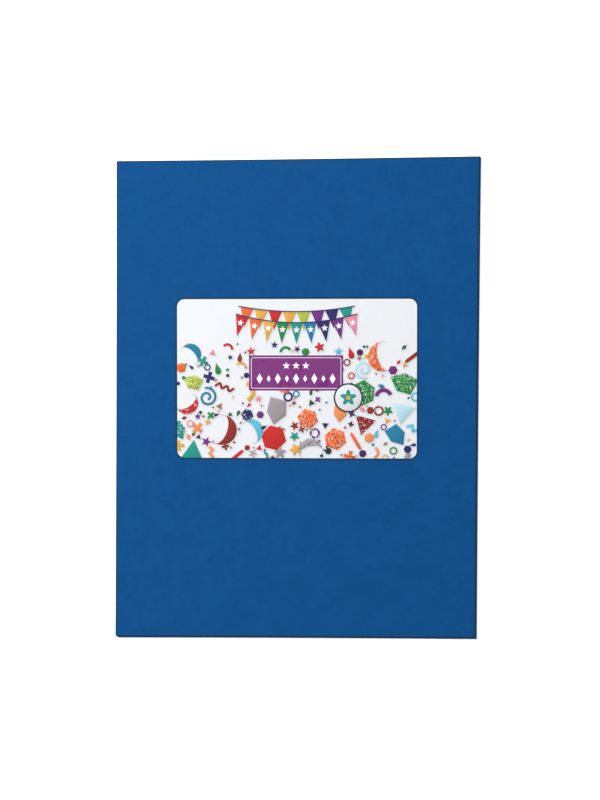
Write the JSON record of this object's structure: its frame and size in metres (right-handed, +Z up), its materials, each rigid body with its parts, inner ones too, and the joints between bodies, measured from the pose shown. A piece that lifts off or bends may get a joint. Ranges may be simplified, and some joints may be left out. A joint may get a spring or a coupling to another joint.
{
  "type": "craft foam sheet",
  "caption": "Flat rectangular sheet of thin closed-cell craft foam with a round-cornered printed paper label stuck to its upper face.",
  "frame": {"origin": "middle of the sheet's underside, where it rests", "axes": "+Z up through the thickness, +X along the short side, +Y along the long side, towards the edge that the label lies nearer to"},
  "size_m": [0.2326, 0.3061, 0.0024],
  "materials": {
    "blue_foam": "matte",
    "label_paper": "satin"
  },
  "bodies": {
    "root": {"foam_sheet": "blue_foam", "paper_label": "label_paper"}
  },
  "joints": []
}
